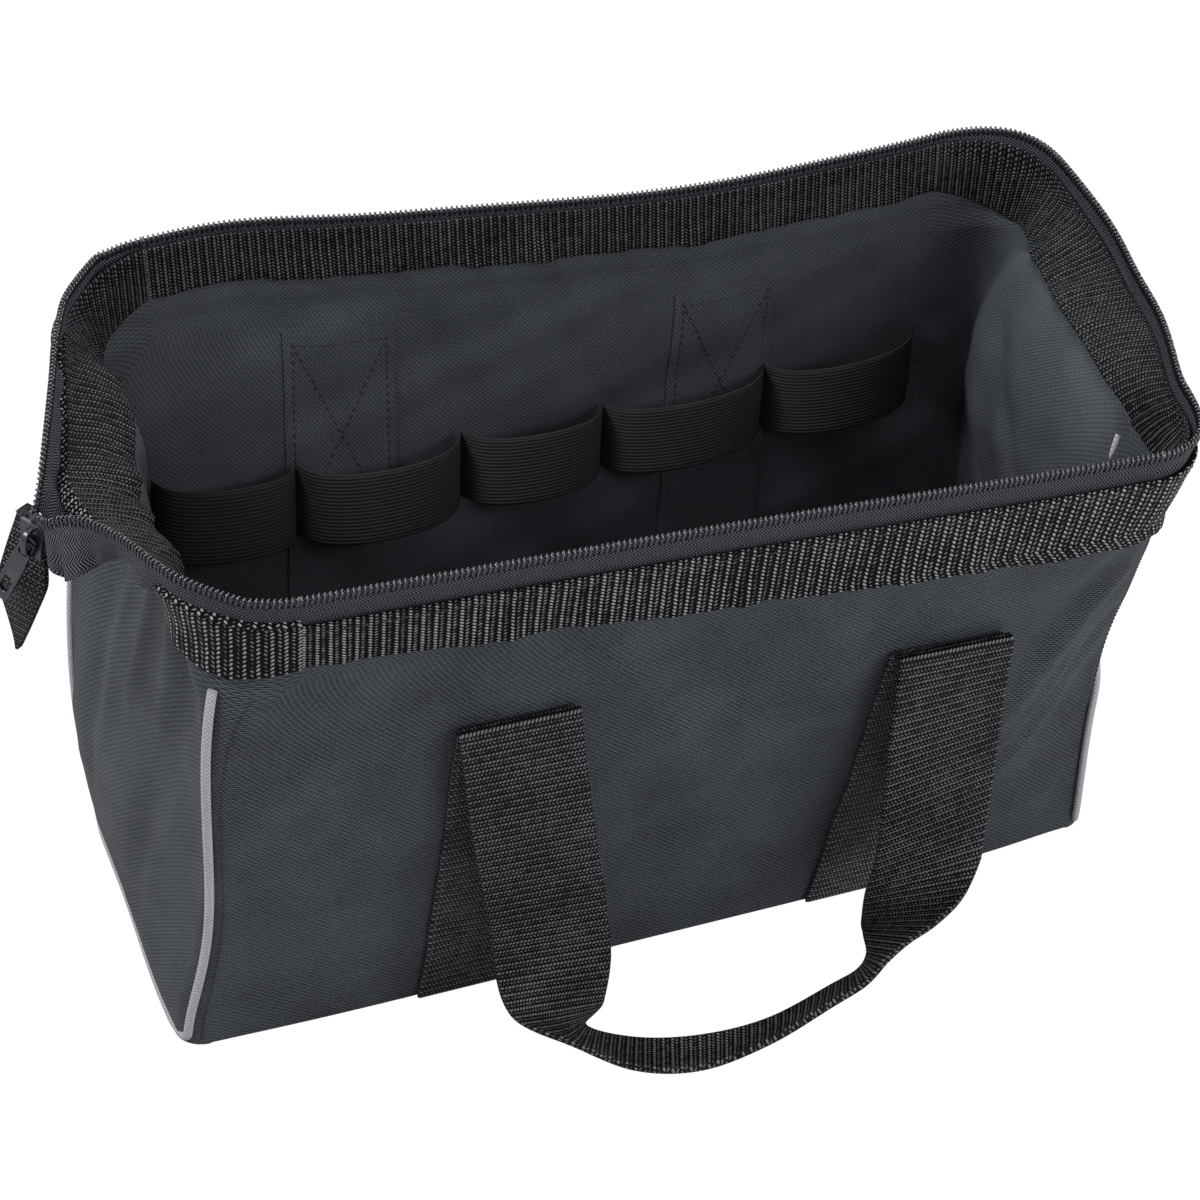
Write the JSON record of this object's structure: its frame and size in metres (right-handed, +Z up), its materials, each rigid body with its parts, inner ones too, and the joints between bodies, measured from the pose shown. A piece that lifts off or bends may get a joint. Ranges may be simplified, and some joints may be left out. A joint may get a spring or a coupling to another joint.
{
  "type": "tool bag",
  "caption": "Soft open-mouth tool bag with a zipped rim on a hidden wire frame, webbing handles and elastic tool loops inside.",
  "frame": {"origin": "middle of the base panel's underside, on the floor the bag stands on", "axes": "+X along the bag to its right end seen from the front, +Y to the back wall, +Z up"},
  "size_m": [0.381, 0.2802, 0.2081],
  "materials": {
    "cloth": "coated woven polyester",
    "lining": "smooth matte lining",
    "band": "woven binding tape",
    "webbing": "herringbone webbing",
    "elastic": "ribbed elastic",
    "tape": "herringbone zip tape",
    "coil": "glossy nylon coil",
    "piping": "satin piping",
    "board": "plain",
    "wire": "drawn wire",
    "metal": "dark gunmetal plating"
  },
  "bodies": {
    "bag_base": {"base_panel": "cloth", "base_board": "board", "base_left_strap": "webbing", "base_right_strap": "webbing", "left_end_panel": "cloth", "right_end_panel": "cloth", "left_band_end": "band", "right_band_end": "band", "left_piping": "piping", "right_piping": "piping", "front_tape_left_end": "tape", "back_tape_left_end": "tape", "front_coil_left_end": "coil", "back_coil_left_end": "coil", "front_tape_right_end": "tape", "back_tape_right_end": "tape", "front_coil_right_end": "coil", "back_coil_right_end": "coil", "zip_tail_tab": "webbing"},
    "front_wall": {"front_panel": "cloth", "front_band": "band", "front_zip_tape": "tape", "front_zip_coil": "coil", "front_left_strap": "webbing", "front_right_strap": "webbing", "front_left_patch": "lining", "front_right_patch": "lining"},
    "back_wall": {"back_panel": "cloth", "back_band": "band", "back_zip_tape": "tape", "back_zip_coil": "coil", "back_left_strap": "webbing", "back_right_strap": "webbing", "back_left_patch": "lining", "back_right_patch": "lining", "tool_loops": "elastic"},
    "front_frame": {"front_frame_wire": "wire"},
    "back_frame": {"back_frame_wire": "wire"},
    "front_handle": {"front_handle": "webbing"},
    "back_handle": {"back_handle": "webbing"},
    "zip_slider": {"zip_slider": "metal"},
    "zip_pull": {"zip_pull_tab": "metal"}
  },
  "joints": [
    {"name": "front_wall_fold", "type": "hinge", "parent": "bag_base", "child": "front_wall", "pos_m": [0, -0.059, 0.0035], "axis": [-1, 0, 0], "range_deg": [0, 25.6], "deforming": ["left_end_panel", "right_end_panel", "left_band_end", "right_band_end", "left_piping", "right_piping", "front_tape_left_end", "back_tape_left_end", "front_coil_left_end", "back_coil_left_end", "front_tape_right_end", "back_tape_right_end", "front_coil_right_end", "back_coil_right_end", "zip_tail_tab"]},
    {"name": "back_wall_fold", "type": "hinge", "parent": "bag_base", "child": "back_wall", "pos_m": [0, 0.059, 0.0035], "axis": [1, 0, 0], "range_deg": [0, 25.6]},
    {"name": "front_frame_turn", "type": "hinge", "parent": "front_wall", "child": "front_frame", "pos_m": [0, -0.08938, 0.188], "axis": [-1, 0, 0], "range_deg": [0, 64]},
    {"name": "back_frame_turn", "type": "hinge", "parent": "back_wall", "child": "back_frame", "pos_m": [0, 0.08938, 0.188], "axis": [1, 0, 0], "range_deg": [0, 64]},
    {"name": "zip_slide", "type": "slide", "parent": "bag_base", "child": "zip_slider", "axis": [0.9977, 0.033, 0.0591], "range_m": [0, 0.3638]},
    {"name": "zip_pull_swing", "type": "hinge", "parent": "zip_slider", "child": "zip_pull", "pos_m": [-0.2049, -0.012, 0.18], "axis": [0, 1, 0], "range_deg": [0, 170]},
    {"name": "front_handle_swing", "type": "hinge", "parent": "front_wall", "child": "front_handle", "pos_m": [0, -0.08464, 0.134], "axis": [-1, 0, 0], "range_deg": [0, 135]},
    {"name": "back_handle_swing", "type": "hinge", "parent": "back_wall", "child": "back_handle", "pos_m": [0, 0.08464, 0.134], "axis": [1, 0, 0], "range_deg": [0, 135]}
  ],
  "couplings": [
    {"joint": "back_wall_fold", "follows": "front_wall_fold", "ratio": 1},
    {"joint": "front_frame_turn", "follows": "front_wall_fold", "ratio": 2.5},
    {"joint": "back_frame_turn", "follows": "front_wall_fold", "ratio": 2.5},
    {"joint": "zip_slide", "follows": "front_wall_fold", "m_per_rad": 0.8142}
  ]
}
